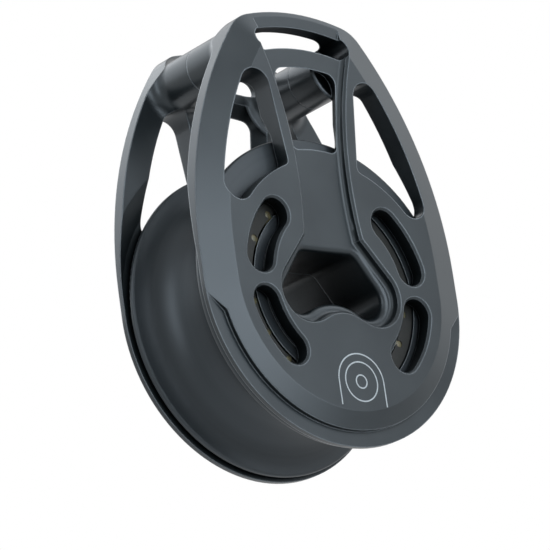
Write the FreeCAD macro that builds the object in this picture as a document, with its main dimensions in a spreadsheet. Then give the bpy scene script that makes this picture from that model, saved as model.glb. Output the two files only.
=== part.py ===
"""Loop block: two milled cheeks, a sheave on rollers and side balls, and four screws.

The origin is the middle of the sheave axis. +X runs to the side, +Y from the front cheek to the
rear one and +Z up to the head. Lengths are in millimetres and angles in degrees.
"""

import FreeCAD
import Part
import math
import os
from enum import IntEnum
from types import SimpleNamespace

import Sketcher

# Driving dimensions: name, value and meaning
SIZES = [
    # Cheek outline
    ("half_width", 14.0, "mid-plane to the flat outer face of a cheek"),
    ("rim_radius", 29.1, "cheek outline below the axis"),
    ("straight_height", 5.0, "straight flank above the axis"),
    ("side_radius", 72.0, "outline arc between flank and head"),
    ("corner_radius", 7.0, "outline corner of the head"),
    ("crown_radius", 43.0, "outline arc over the head"),
    ("crown_height", 52.1, "axis to the top of the head"),
    # Cheek section
    ("cheek_thickness", 3.0, "cheek beside the sheave"),
    ("frame_thickness", 4.4, "cheek above the sheave"),
    ("bevel_width", 6.0, "bevel round the outline, across"),
    ("bevel_drop", 2.0, "bevel round the outline, down"),
    ("cove_width", 2.8, "cove round the lower rim, across"),
    ("cove_depth", 2.0, "outer face to the lip of the cove"),
    ("cove_end_angle", 13.3, "foot of the cove's ends below the axis"),
    ("cove_runout_angle", 5.0, "outer end of the cove's ends above the axis"),
    ("space_gap", 0.8, "sheave to the recess round it, inside a cheek"),
    ("space_ramp", 4.0, "ramp round that recess"),
    # Side windows
    ("rail_width", 5.0, "outline to window"),
    ("window_floor_radius", 23.3, "lower edge of the windows, from the axis"),
    ("window_corner_radius", 3.0, "lower outer corner of a window"),
    ("window_foot_radius", 1.2, "lower inner corner of a window"),
    ("window_top_radius", 3.1, "top of a window"),
    ("rib_foot", 8.0, "middle to a window, at its foot"),
    ("rib_head", 9.7, "middle to a window, at its top"),
    # Kidney slots
    ("slot_pitch_radius", 17.6, "middle of the kidney slots"),
    ("slot_width", 5.75, "width of the kidney slots"),
    ("slot_first_angle", 13.5, "lower end of the first slot"),
    ("slot_last_angle", 44.6, "upper end of the first slot"),
    # Recess for the lashing
    ("recess_depth", 2.05, "recess at the height of the axis"),
    ("recess_slope", 1.0, "rise of the recess towards the head"),
    ("waist_half_width", 5.6, "narrowest half width of the recess"),
    ("waist_height", 19.5, "height of the waist"),
    ("neck_radius", 76.0, "sides of the recess"),
    ("shoulder_height", 9.0, "where the recess widens round the hub passage"),
    ("lobe_side", 7.6, "middle to the centre of a lobe"),
    ("lobe_drop", 1.4, "axis down to the centre of a lobe"),
    ("lobe_radius", 5.6, "lobe of the recess"),
    ("hump_radius", 8.3, "hump between the lobes"),
    # Hub passage
    ("passage_inset", 2.0, "recess edge to the passage"),
    ("passage_top", 6.8, "upper edge of the passage"),
    ("passage_corner_side", 5.0, "middle to the centre of an upper corner"),
    ("passage_corner_radius", 2.2, "upper corner of the passage"),
    ("passage_round", 1.1, "rounding where the lashing bends over"),
    ("recess_foot", 0.75, "rounding at the foot of the recess's walls"),
    ("recess_rim", 0.45, "bevel at the top of the recess's walls"),
    # Head slot and centre window
    ("head_bar", 3.0, "crown to the head slot"),
    ("head_slot_width", 4.2, "height of the head slot"),
    ("head_slot_angle", 13.2, "end of the front head slot, from the middle"),
    ("rear_slot_angle", 9.5, "end of the rear head slot, from the middle"),
    ("crown_flat_depth", 1.7, "outer face to the flat over the head slot"),
    ("crown_flat_foot", 9.2, "half width of that flat, at the head slot"),
    ("crown_flat_head", 11.0, "half width of that flat, past the crown"),
    ("bridge_width", 3.6, "head slot to the centre window"),
    ("window_draft", 29.0, "lean of the centre window's walls"),
    ("centre_window_radius", 26.75, "lower edge of the centre window, from the axis"),
    ("centre_window_foot", 4.3, "half width of the centre window, at its foot"),
    ("centre_window_head", 6.2, "half width of the centre window, at its top"),
    ("centre_window_round", 1.2, "upper corners of the centre window"),
    ("centre_window_corner", 0.5, "lower corners of the centre window"),
    ("edge_break", 0.4, "broken edges of the slots"),
    # Head posts and hub boss
    ("post_radius", 4.7, "head post"),
    ("post_side", 11.75, "middle to a head post"),
    ("post_drop", 7.95, "crown down to a head post"),
    ("post_foot", 3.0, "rounding at the foot of a head post"),
    ("boss_radius", 13.2, "hub boss"),
    # Screws
    ("screw_radius", 1.5, "shank"),
    ("screw_clearance", 0.15, "hole round the shank in the rear cheek"),
    ("thread_clearance", 0.02, "hole round the shank in the front cheek"),
    ("screw_head_radius", 2.9, "countersunk head"),
    ("screw_head_rim", 0.3, "cylindrical rim of the head"),
    ("screw_length", 20.0, "overall length"),
    ("screw_tip_room", 1.0, "blind hole past the tip"),
    ("hex_across", 2.0, "key size"),
    ("hex_depth", 1.3, "depth of the key socket"),
    ("head_screw_out", 0.85, "middle of a head post out to its screw"),
    ("head_screw_rise", 0.45, "middle of a head post up to its screw"),
    ("head_screw_sink", 1.6, "outer face to the head of a head screw"),
    ("hub_screw_inset", 2.3, "outside of the boss to a hub screw"),
    ("hub_screw_angle", 24.4, "hub screw from the middle, below the axis"),
    ("hub_screw_sink", 0.1, "outer face to the head of a hub screw"),
    # Sheave
    ("sheave_radius", 28.5, "outside of the flanges"),
    ("sheave_gap", 0.6, "sheave to cheek, on each side"),
    ("sheave_wall", 2.37, "bore of the sheave to the root of the rope groove"),
    ("flange_width", 1.2, "flange at the rim"),
    ("flange_round", 0.5, "rounding of the flange rims"),
    # Bearing
    ("bearing_gap", 0.05, "running clearance of rollers and balls"),
    ("race_fit", 0.03, "races over the boss"),
    ("race_wall", 1.2, "inner race"),
    ("race_inset", 2.0, "middle of the side balls to the end of the inner race"),
    ("roller_radius", 1.8, "roller"),
    ("roller_end_gap", 0.3, "end of the inner race to the end of a roller"),
    ("roller_count", 24, "rollers round the race"),
    ("ball_radius", 1.95, "side ball"),
    ("ball_offset", 1.12, "pitch circle of the rollers to that of the side balls"),
    ("ball_inset", 2.2, "side face of the sheave to the side balls"),
    ("ball_count", 18, "side balls in a set"),
    ("ball_bore_reach", 2.25, "pitch circle of the side balls to the sheave's bore round them"),
    ("side_race_shoulder", 0.9, "pitch circle of the side balls in to the shoulder of a side race"),
    ("side_race_barrel", 2.1, "pitch circle of the side balls in to the barrel of a side race"),
    ("cage_bore_reach", 0.6, "pitch circle of the side balls in to the bore of a cage"),
    ("cage_gap", 0.3, "cage to the sheave's bore"),
    ("cage_inner_reach", 0.2, "middle of the side balls to the inner face of a cage"),
    ("cage_outer_reach", 2.0, "middle of the side balls to the outer face of a cage"),
    ("cage_pocket_gap", 0.15, "ball to its pocket"),
]


class Size(float):
    """A number that remembers its formula, so that a feature can be bound to it."""

    def __new__(cls, value, formula):
        """Pair a value with the formula that gives it."""
        size = super().__new__(cls, value)
        size.formula = formula
        return size

    def __add__(self, other):
        return Size(float(self) + other, f"({self.formula} + {formula_of(other)})")

    def __radd__(self, other):
        return Size(other + float(self), f"({formula_of(other)} + {self.formula})")

    def __sub__(self, other):
        return Size(float(self) - other, f"({self.formula} - {formula_of(other)})")

    def __rsub__(self, other):
        return Size(other - float(self), f"({formula_of(other)} - {self.formula})")

    def __mul__(self, other):
        return Size(float(self) * other, f"({self.formula} * {formula_of(other)})")

    def __rmul__(self, other):
        return Size(other * float(self), f"({formula_of(other)} * {self.formula})")

    def __truediv__(self, other):
        return Size(float(self) / other, f"({self.formula} / {formula_of(other)})")

    def __neg__(self):
        return Size(-float(self), f"(-1 * {self.formula})")


def formula_of(number):
    """Return the formula of a size, or a plain number as text."""
    return number.formula if isinstance(number, Size) else repr(float(number))


def sine(angle):
    """Return the sine of an angle in degrees."""
    return Size(math.sin(math.radians(angle)), f"sin({formula_of(angle)})")


def cosine(angle):
    """Return the cosine of an angle in degrees."""
    return Size(math.cos(math.radians(angle)), f"cos({formula_of(angle)})")


S = SimpleNamespace(**{name: Size(value, f"Sizes.{name}") for name, value, meaning in SIZES})

# Derived sizes
SIDE_CENTRE = (S.rim_radius - S.side_radius, S.straight_height)
CROWN_CENTRE = (0.0, S.crown_height - S.crown_radius)
CHEEK_FACE = S.half_width - S.cheek_thickness
FRAME_FACE = S.half_width - S.frame_thickness
BEVEL_FACE = S.half_width - S.bevel_drop
SPACE_RADIUS = S.sheave_radius + S.space_gap
COVE_RADIUS = S.rim_radius - S.cove_width
SLOT_MIDDLE = S.crown_radius - S.head_bar - S.head_slot_width / 2
RECESS_TOP = CROWN_CENTRE[1] + SLOT_MIDDLE * cosine(S.head_slot_angle)
BRIDGE_RADIUS = SLOT_MIDDLE - S.head_slot_width / 2 - S.bridge_width
POST_HEIGHT = S.crown_height - S.post_drop
BRIDGE_BOTTOM = CROWN_CENTRE[1] + BRIDGE_RADIUS
BRIDGE_DEPTH = S.recess_depth - BRIDGE_BOTTOM * sine(S.recess_slope)
WINDOW_LIP = BRIDGE_DEPTH * sine(S.window_draft) / cosine(S.window_draft)
STOCK_RADIUS = S.crown_height + S.bevel_width
HUB_SCREW_PITCH = S.boss_radius - S.hub_screw_inset
SHEAVE_FACE = CHEEK_FACE - S.sheave_gap
GROOVE_MOUTH = SHEAVE_FACE - S.flange_width
RACE_BORE = S.boss_radius + S.race_fit
RACE_RADIUS = RACE_BORE + S.race_wall
ROLLER_PITCH = RACE_RADIUS + S.bearing_gap + S.roller_radius
SHEAVE_BORE = ROLLER_PITCH + S.roller_radius + S.bearing_gap
GROOVE_ROOT = SHEAVE_BORE + S.sheave_wall
GROOVE_DEPTH = S.sheave_radius - GROOVE_ROOT
BALL_PITCH = ROLLER_PITCH + S.ball_offset
BALL_BORE = BALL_PITCH + S.ball_bore_reach
BALL_DEPTH = SHEAVE_FACE - S.ball_inset
RACE_END = BALL_DEPTH - S.race_inset
ROLLER_END = RACE_END - S.roller_end_gap
BALL_REACH = (S.ball_radius + S.bearing_gap) * math.sqrt(2)
OUTER_CONE = BALL_PITCH - BALL_DEPTH + BALL_REACH
INNER_CONE = BALL_PITCH - BALL_DEPTH - BALL_REACH

EDGE_TOLERANCE = 0.02

# Words for the two sides of the block and for the parts of a sketch
Side = IntEnum("Side", {"FRONT": -1, "REAR": 1})
Spot = IntEnum("Spot", "START END CENTRE")
Fixed = IntEnum("Fixed", {"ORIGIN": -1, "VERTICAL_AXIS": -2})

doc = FreeCAD.newDocument("LoopBlock")


def make_sheet():
    """Write the driving dimensions into a spreadsheet, each with its name as alias."""
    sheet = doc.addObject("Spreadsheet::Sheet", "Sizes")
    for row, (name, value, meaning) in enumerate(SIZES, start=1):
        sheet.set(f"A{row}", meaning)
        sheet.set(f"B{row}", str(value))
        sheet.setAlias(f"B{row}", name)
    doc.recompute()


def bind(thing, path, size):
    """Bind a property to the formula of a size."""
    thing.setExpression(path, formula_of(size))


# Plane geometry


def circles_meet(first, first_radius, second, second_radius):
    """Return the point where two circles meet, on the side away from the lower left."""
    gap = math.dist(first, second)
    along = (first_radius**2 - second_radius**2 + gap**2) / (2 * gap)
    across = math.sqrt(first_radius**2 - along**2)
    unit = ((second[0] - first[0]) / gap, (second[1] - first[1]) / gap)
    foot = (first[0] + along * unit[0], first[1] + along * unit[1])
    points = [
        (foot[0] - sign * across * unit[1], foot[1] + sign * across * unit[0])
        for sign in (1, -1)
    ]
    return max(points, key=sum)


def reach(start, target, distance):
    """Return the point at a distance from start, in the direction of target."""
    share = distance / math.dist(start, target)
    return (start[0] + share * (target[0] - start[0]), start[1] + share * (target[1] - start[1]))


def polar(centre, radius, angle):
    """Return the point at a radius and an angle from a centre."""
    turn = math.radians(angle)
    return (centre[0] + radius * math.cos(turn), centre[1] + radius * math.sin(turn))


def tangent_angle(centre, radius, point, point_radius=0.0):
    """Return the angle, seen from a circle, at which its right-hand tangent to another leaves.

    The other circle lies above, and a point is a circle without a radius.
    """
    towards = math.atan2(point[1] - centre[1], point[0] - centre[0])
    opening = math.acos((radius - point_radius) / math.dist(centre, point))
    return math.degrees(towards - opening)


# Sketches


def new_sketch(body, name, plane, offset=0.0):
    """Add a sketch to a body, on an origin plane moved along its normal."""
    sketch = body.newObject("Sketcher::SketchObject", name)
    origin_plane = next(item for item in body.Origin.OriginFeatures if item.Role == plane)
    sketch.AttachmentSupport = (origin_plane, [""])
    sketch.MapMode = "FlatFace"
    bind(sketch, "AttachmentOffset.Base.z", offset)
    return sketch


def line(sketch, start, end):
    """Draw a line."""
    edge = Part.LineSegment(FreeCAD.Vector(*start, 0), FreeCAD.Vector(*end, 0))
    return sketch.addGeometry(edge)


def circle(sketch, centre, radius):
    """Draw a circle and hold its radius and centre."""
    whole = Part.Circle(FreeCAD.Vector(*centre, 0), FreeCAD.Vector(0, 0, 1), radius)
    edge = sketch.addGeometry(whole)
    tie(sketch, "Radius", radius, edge)
    place(sketch, edge, Spot.CENTRE, centre)
    return edge


def arc(sketch, centre, start, end, hand=1):
    """Draw an arc anticlockwise from start to end, or its mirror image for the left hand."""
    if hand < 0:
        centre, start, end = [(-x, y) for x, y in (centre, end, start)]
    radius = math.dist(centre, start)
    whole = Part.Circle(FreeCAD.Vector(*centre, 0), FreeCAD.Vector(0, 0, 1), radius)
    first, last = [math.atan2(y - centre[1], x - centre[0]) for x, y in (start, end)]
    return sketch.addGeometry(Part.ArcOfCircle(whole, first, last))


def meet(sketch, first, second, smooth=False):
    """Join the nearest ends of two edges, at a corner or smoothly."""
    pairs = [(a, b) for a in (Spot.START, Spot.END) for b in (Spot.START, Spot.END)]
    gaps = [(sketch.getPoint(first, a) - sketch.getPoint(second, b)).Length for a, b in pairs]
    a, b = pairs[gaps.index(min(gaps))]
    kind = "Tangent" if smooth else "Coincident"
    sketch.addConstraint(Sketcher.Constraint(kind, first, a, second, b))


def close_loop(sketch, edges, smooth=False):
    """Join each edge of a loop to the next."""
    for first, second in zip(edges, edges[1:] + edges[:1]):
        meet(sketch, first, second, smooth)


def tie(sketch, kind, size, *where):
    """Hold a radius or a coordinate of a sketch to a size."""
    index = sketch.addConstraint(Sketcher.Constraint(kind, *where, float(size)))
    bind(sketch, f"Constraints[{index}]", size)


def place(sketch, edge, point, position):
    """Hold a point of an edge to a position."""
    tie(sketch, "DistanceX", position[0], edge, point)
    tie(sketch, "DistanceY", position[1], edge, point)


def centre_on_axis(sketch, edge):
    """Put the centre of an arc on the axis of the sheave."""
    sketch.addConstraint(Sketcher.Constraint("Coincident", edge, Spot.CENTRE, Fixed.ORIGIN, Spot.START))


def centre_on_middle(sketch, edge):
    """Put the centre of an arc on the block's middle line."""
    sketch.addConstraint(Sketcher.Constraint("PointOnObject", edge, Spot.CENTRE, Fixed.VERTICAL_AXIS))


def level(sketch, edge, height):
    """Hold a line level at a height."""
    sketch.addConstraint(Sketcher.Constraint("Horizontal", edge))
    tie(sketch, "DistanceY", height, edge, Spot.START)


def draw_polygon(sketch, corners):
    """Draw a closed outline of straight lines and hold each corner."""
    edges = [line(sketch, a, b) for a, b in zip(corners, corners[1:] + corners[:1])]
    for first, second in zip(edges, edges[1:] + edges[:1]):
        sketch.addConstraint(Sketcher.Constraint("Coincident", first, Spot.END, second, Spot.START))
    for edge, corner in zip(edges, corners):
        place(sketch, edge, Spot.START, corner)
    return edges


# Cheek outline and openings


def draw_outline(sketch):
    """Draw the outline of a cheek: round below, arched flanks and a crowned head."""
    corner_gap = S.side_radius - S.corner_radius
    crown_gap = S.crown_radius - S.corner_radius
    corner = circles_meet(SIDE_CENTRE, corner_gap, CROWN_CENTRE, crown_gap)
    flank_top = (S.rim_radius, S.straight_height)
    side_end = reach(SIDE_CENTRE, corner, S.side_radius)
    crown_end = reach(CROWN_CENTRE, corner, S.crown_radius)
    rim = arc(sketch, (0, 0), (-S.rim_radius, 0), (S.rim_radius, 0))
    crown = arc(sketch, CROWN_CENTRE, crown_end, (-crown_end[0], crown_end[1]))
    for hand in (1, -1):
        flank = line(sketch, (hand * S.rim_radius, 0), (hand * S.rim_radius, S.straight_height))
        side = arc(sketch, SIDE_CENTRE, flank_top, side_end, hand)
        round_corner = arc(sketch, corner, side_end, crown_end, hand)
        meet(sketch, rim, flank, smooth=True)
        meet(sketch, flank, side, smooth=True)
        meet(sketch, side, round_corner, smooth=True)
        meet(sketch, round_corner, crown, smooth=True)
        sketch.addConstraint(Sketcher.Constraint("Vertical", flank))
        tie(sketch, "DistanceY", S.straight_height, flank, Spot.END)
        tie(sketch, "Radius", S.side_radius, side)
        tie(sketch, "Radius", S.corner_radius, round_corner)
    centre_on_axis(sketch, rim)
    centre_on_middle(sketch, crown)
    tie(sketch, "Radius", S.rim_radius, rim)
    tie(sketch, "Radius", S.crown_radius, crown)
    tie(sketch, "DistanceY", CROWN_CENTRE[1], crown, Spot.CENTRE)


def draw_side_window(sketch, hand):
    """Draw one side window between rail, rib and hub disc."""
    rail_radius = S.side_radius - S.rail_width
    top_x = S.rib_head + S.window_top_radius
    top_rise = math.sqrt((rail_radius - S.window_top_radius) ** 2 - (top_x - SIDE_CENTRE[0]) ** 2)
    top = (top_x, SIDE_CENTRE[1] + top_rise)
    corner_gap = rail_radius - S.window_corner_radius
    corner_reach = S.window_floor_radius + S.window_corner_radius
    corner = circles_meet(SIDE_CENTRE, corner_gap, (0, 0), corner_reach)
    foot_x = S.rib_foot + S.window_foot_radius
    foot_reach = S.window_floor_radius + S.window_foot_radius
    foot = (foot_x, math.sqrt(foot_reach**2 - foot_x**2))
    corner_start = reach((0, 0), corner, S.window_floor_radius)
    corner_end = reach(SIDE_CENTRE, corner, rail_radius)
    top_start = reach(SIDE_CENTRE, top, rail_radius)
    foot_end = reach((0, 0), foot, S.window_floor_radius)
    floor = arc(sketch, (0, 0), corner_start, foot_end, hand)
    outer_corner = arc(sketch, corner, corner_start, corner_end, hand)
    rail = arc(sketch, SIDE_CENTRE, corner_end, top_start, hand)
    top_round = arc(sketch, top, top_start, (S.rib_head, top[1]), hand)
    rib = line(sketch, (hand * S.rib_head, top[1]), (hand * S.rib_foot, foot[1]))
    inner_corner = arc(sketch, foot, (S.rib_foot, foot[1]), foot_end, hand)
    close_loop(sketch, [floor, outer_corner, rail, top_round, rib, inner_corner], smooth=True)
    centre_on_axis(sketch, floor)
    place(sketch, rail, Spot.CENTRE, (hand * SIDE_CENTRE[0], SIDE_CENTRE[1]))
    tie(sketch, "Radius", S.window_floor_radius, floor)
    tie(sketch, "Radius", rail_radius, rail)
    tie(sketch, "Radius", S.window_corner_radius, outer_corner)
    tie(sketch, "Radius", S.window_foot_radius, inner_corner)
    tie(sketch, "Radius", S.window_top_radius, top_round)
    tie(sketch, "DistanceX", hand * S.rib_head, rib, Spot.START)
    tie(sketch, "DistanceX", hand * S.rib_foot, rib, Spot.END)


def draw_bent_slot(sketch, centre, middle_radius, width, first, last):
    """Draw a slot bent round a centre between two angles, and return its two ends."""
    low = middle_radius - width / 2
    high = middle_radius + width / 2
    inner = arc(sketch, centre, polar(centre, low, first), polar(centre, low, last))
    outer = arc(sketch, centre, polar(centre, high, first), polar(centre, high, last))
    ends = []
    for angle, start, end in ((first, low, high), (last, high, low)):
        round_end = arc(
            sketch,
            polar(centre, middle_radius, angle),
            polar(centre, start, angle),
            polar(centre, end, angle),
        )
        ends.append(round_end)
        meet(sketch, inner, round_end, smooth=True)
        meet(sketch, outer, round_end, smooth=True)
    for edge, radius in ((inner, low), (outer, high)):
        place(sketch, edge, Spot.CENTRE, centre)
        tie(sketch, "Radius", radius, edge)
    return ends


def draw_kidney_slots(sketch):
    """Draw the four slots round the hub."""
    first = S.slot_first_angle
    last = S.slot_last_angle
    spans = [(first, last), (180 - last, 180 - first), (180 + first, 180 + last), (-last, -first)]
    for span in spans:
        ends = draw_bent_slot(sketch, (0.0, 0.0), S.slot_pitch_radius, S.slot_width, *span)
        for end, angle in zip(ends, span):
            tie(sketch, "DistanceY", S.slot_pitch_radius * sine(angle), end, Spot.CENTRE)


def draw_head_slot(sketch, half_angle):
    """Draw the slot under the crown, concentric with it."""
    span = (90 - half_angle, 90 + half_angle)
    ends = draw_bent_slot(sketch, CROWN_CENTRE, SLOT_MIDDLE, S.head_slot_width, *span)
    for end, angle in zip(ends, span):
        tie(sketch, "DistanceX", SLOT_MIDDLE * cosine(angle), end, Spot.CENTRE)


def draw_centre_window(sketch):
    """Draw the window between the ribs, under the bridge and concentric with it."""
    top_radius = BRIDGE_RADIUS - WINDOW_LIP
    lower_x = S.centre_window_foot - S.centre_window_corner
    lower_reach = S.centre_window_radius + S.centre_window_corner
    lower = (lower_x, math.sqrt(lower_reach**2 - lower_x**2))
    upper_x = S.centre_window_head - S.centre_window_round
    upper_reach = top_radius - S.centre_window_round
    upper = (upper_x, CROWN_CENTRE[1] + math.sqrt(upper_reach**2 - upper_x**2))
    floor_end = reach((0, 0), lower, S.centre_window_radius)
    top_end = reach(CROWN_CENTRE, upper, top_radius)
    floor = arc(sketch, (0, 0), floor_end, (-floor_end[0], floor_end[1]))
    top = arc(sketch, CROWN_CENTRE, top_end, (-top_end[0], top_end[1]))
    for hand in (1, -1):
        foot = (S.centre_window_foot, lower[1])
        head = (S.centre_window_head, upper[1])
        lower_corner = arc(sketch, lower, floor_end, foot, hand)
        side = line(sketch, (hand * foot[0], foot[1]), (hand * head[0], head[1]))
        upper_corner = arc(sketch, upper, head, top_end, hand)
        meet(sketch, floor, lower_corner, smooth=True)
        meet(sketch, lower_corner, side, smooth=True)
        meet(sketch, side, upper_corner, smooth=True)
        meet(sketch, upper_corner, top, smooth=True)
        tie(sketch, "DistanceX", hand * S.centre_window_foot, side, Spot.START)
        tie(sketch, "DistanceX", hand * S.centre_window_head, side, Spot.END)
        tie(sketch, "Radius", S.centre_window_corner, lower_corner)
        tie(sketch, "Radius", S.centre_window_round, upper_corner)
    centre_on_axis(sketch, floor)
    place(sketch, top, Spot.CENTRE, CROWN_CENTRE)
    tie(sketch, "Radius", S.centre_window_radius, floor)
    tie(sketch, "Radius", top_radius, top)


def draw_lobes(sketch, inset, upper, upper_radius):
    """Draw two lobes and the hump between them, and return the lobes and their upper ends.

    Each lobe ends where its tangent to the circle above it, or to a point, leaves it.
    """
    centre = (S.lobe_side, -S.lobe_drop)
    lobe_radius = S.lobe_radius - inset
    hump_radius = S.hump_radius + inset
    spread = lobe_radius + hump_radius
    hump_centre = (0, centre[1] - math.sqrt(spread**2 - centre[0] ** 2))
    hump_end = reach(hump_centre, centre, hump_radius)
    touch = polar(centre, lobe_radius, tangent_angle(centre, lobe_radius, upper, upper_radius))
    hump = arc(sketch, hump_centre, hump_end, (-hump_end[0], hump_end[1]))
    tie(sketch, "Radius", hump_radius, hump)
    lobes = {}
    for hand in (1, -1):
        lobes[hand] = arc(sketch, centre, hump_end, touch, hand)
        meet(sketch, lobes[hand], hump, smooth=True)
        place(sketch, lobes[hand], Spot.CENTRE, (hand * centre[0], centre[1]))
        tie(sketch, "Radius", lobe_radius, lobes[hand])
    return lobes, touch


def draw_recess(sketch):
    """Draw the recess that leads the lashing from the hub passage to the head slot."""
    neck_centre = (S.waist_half_width + S.neck_radius, S.waist_height)
    shoulder_rise = S.shoulder_height - S.waist_height
    shoulder_x = neck_centre[0] - math.sqrt(S.neck_radius**2 - shoulder_rise**2)
    shoulder = (shoulder_x, S.shoulder_height)
    head_rise = RECESS_TOP - S.waist_height
    head = (neck_centre[0] - math.sqrt(S.neck_radius**2 - head_rise**2), RECESS_TOP)
    lobes, touch = draw_lobes(sketch, 0, shoulder, 0)
    top = line(sketch, (-head[0], head[1]), head)
    level(sketch, top, RECESS_TOP)
    for hand in (1, -1):
        neck = arc(sketch, neck_centre, head, shoulder, hand)
        flank = line(sketch, (hand * shoulder[0], shoulder[1]), (hand * touch[0], touch[1]))
        meet(sketch, top, neck)
        meet(sketch, neck, flank)
        meet(sketch, flank, lobes[hand], smooth=True)
        place(sketch, neck, Spot.CENTRE, (hand * neck_centre[0], neck_centre[1]))
        tie(sketch, "Radius", S.neck_radius, neck)
        tie(sketch, "DistanceY", S.shoulder_height, flank, Spot.START)


def draw_passage(sketch):
    """Draw the passage of the lashing through the hub, inside the recess's lobes."""
    corner = (S.passage_corner_side, S.passage_top - S.passage_corner_radius)
    lobes, touch = draw_lobes(sketch, S.passage_inset, corner, S.passage_corner_radius)
    lobe_centre = (S.lobe_side, -S.lobe_drop)
    lobe_radius = S.lobe_radius - S.passage_inset
    lean = tangent_angle(lobe_centre, lobe_radius, corner, S.passage_corner_radius)
    corner_start = polar(corner, S.passage_corner_radius, lean)
    top_end = (corner[0], S.passage_top)
    top = line(sketch, (-top_end[0], top_end[1]), top_end)
    level(sketch, top, S.passage_top)
    for hand in (1, -1):
        upper = arc(sketch, corner, corner_start, top_end, hand)
        flank_start = (hand * corner_start[0], corner_start[1])
        flank = line(sketch, flank_start, (hand * touch[0], touch[1]))
        meet(sketch, top, upper, smooth=True)
        meet(sketch, upper, flank, smooth=True)
        meet(sketch, flank, lobes[hand], smooth=True)
        tie(sketch, "Radius", S.passage_corner_radius, upper)
        tie(sketch, "DistanceX", hand * S.passage_corner_side, upper, Spot.CENTRE)


def draw_cove(sketch):
    """Draw the band that the cove takes off the lower rim, past the outline's edge."""
    past = S.rim_radius + S.bevel_width
    foot_end = polar((0, 0), COVE_RADIUS, -S.cove_end_angle)
    outside_end = polar((0, 0), past, S.cove_runout_angle)
    foot = arc(sketch, (0, 0), (-foot_end[0], foot_end[1]), foot_end)
    outside = arc(sketch, (0, 0), (-outside_end[0], outside_end[1]), outside_end)
    for edge, radius in ((foot, COVE_RADIUS), (outside, past)):
        centre_on_axis(sketch, edge)
        tie(sketch, "Radius", radius, edge)
    for hand in (1, -1):
        runout_start = (hand * foot_end[0], foot_end[1])
        runout_end = (hand * outside_end[0], outside_end[1])
        runout = line(sketch, runout_start, runout_end)
        meet(sketch, runout, foot)
        meet(sketch, runout, outside)
        tie(sketch, "DistanceY", -(COVE_RADIUS * sine(S.cove_end_angle)), runout, Spot.START)
        tie(sketch, "DistanceY", past * sine(S.cove_runout_angle), runout, Spot.END)


def draw_milled_space(sketch):
    """Draw the space between the cheeks, which leaves the posts and the hub boss standing."""
    circle(sketch, (0.0, 0.0), STOCK_RADIUS + S.bevel_width)
    circle(sketch, (0.0, 0.0), S.boss_radius)
    for hand in (1, -1):
        circle(sketch, (hand * S.post_side, POST_HEIGHT), S.post_radius)


def draw_crown_flat(sketch):
    """Draw the flat over the head slot, which widens upwards past the crown."""
    foot = (S.crown_flat_foot, RECESS_TOP)
    head = (S.crown_flat_head, STOCK_RADIUS)
    draw_polygon(sketch, [(-foot[0], foot[1]), foot, head, (-head[0], head[1])])


# Features


def pad(body, sketch, length, backwards=False):
    """Pad a sketch by a length."""
    feature = body.newObject("PartDesign::Pad", sketch.Name + "_pad")
    feature.Profile = sketch
    feature.Reversed = backwards
    bind(feature, "Length", length)
    doc.recompute()
    return feature


def pocket(body, sketch, depth, backwards=False):
    """Cut a sketch to a depth, and check that it takes something away."""
    before = body.Shape.Volume
    feature = body.newObject("PartDesign::Pocket", sketch.Name + "_pocket")
    feature.Profile = sketch
    feature.Reversed = backwards
    bind(feature, "Length", depth)
    doc.recompute()
    if body.Shape.Volume >= before:
        raise RuntimeError(f"{feature.Name} cuts nothing")
    return feature


def turn(body, sketch, kind="Revolution"):
    """Turn a sketch all round its horizontal axis, as material or as a Groove."""
    feature = body.newObject(f"PartDesign::{kind}", sketch.Name + "_turned")
    feature.Profile = sketch
    feature.ReferenceAxis = (sketch, ["H_Axis"])
    feature.Angle = 360
    doc.recompute()
    return feature


def dress(body, kind, name, edges, size):
    """Add a Fillet or a Chamfer to named edges of a body."""
    undressed = body.Tip
    feature = body.newObject(f"PartDesign::{kind}", name)
    feature.Base = (undressed, edges)
    bind(feature, "Radius" if kind == "Fillet" else "Size", size)
    doc.recompute()
    return feature


def edges_where(shape, test):
    """Name the edges of a shape whose ends and middle all pass a test."""
    names = []
    for index, edge in enumerate(shape.Edges, start=1):
        first, last = edge.FirstParameter, edge.LastParameter
        if all(test(edge.valueAt(param)) for param in (first, (first + last) / 2, last)):
            names.append(f"Edge{index}")
    return names


def new_body(label):
    """Add a body with a label."""
    body = doc.addObject("PartDesign::Body", label)
    body.Label = label
    return body


# Cheeks


def make_blank(body, label, side):
    """Make a round stock with the half posts and the half boss standing out of it inwards."""
    stock = new_sketch(body, f"{label}_stock", "XZ_Plane")
    circle(stock, (0.0, 0.0), STOCK_RADIUS)
    pad(body, stock, BEVEL_FACE, side == Side.REAR)
    space = new_sketch(body, f"{label}_space", "XZ_Plane")
    draw_milled_space(space)
    pocket(body, space, FRAME_FACE, side == Side.FRONT)

    def at_post_foot(point):
        off_axis = math.dist((abs(point.x), point.z), (S.post_side, POST_HEIGHT))
        on_face = abs(side * point.y - FRAME_FACE) < EDGE_TOLERANCE
        return on_face and abs(off_axis - S.post_radius) < EDGE_TOLERANCE

    feet = edges_where(body.Shape, at_post_foot)
    dress(body, "Fillet", f"{label}_post_feet", feet, S.post_foot)


def mill_outline(body, label, side):
    """Mill the stock to the outline of the cheek and put the bevel round its outer face."""
    outside = new_sketch(body, f"{label}_outside", "XZ_Plane")
    circle(outside, (0.0, 0.0), STOCK_RADIUS + S.bevel_width)
    draw_outline(outside)
    pocket(body, outside, BEVEL_FACE, side == Side.FRONT)
    bevel = new_sketch(body, f"{label}_bevel", "XZ_Plane", -side * BEVEL_FACE)
    draw_outline(bevel)
    face = pad(body, bevel, S.bevel_drop, side == Side.REAR)
    lean = f"-atan({S.bevel_width.formula} / {S.bevel_drop.formula})"
    face.setExpression("TaperAngle", lean)
    doc.recompute()


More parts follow.
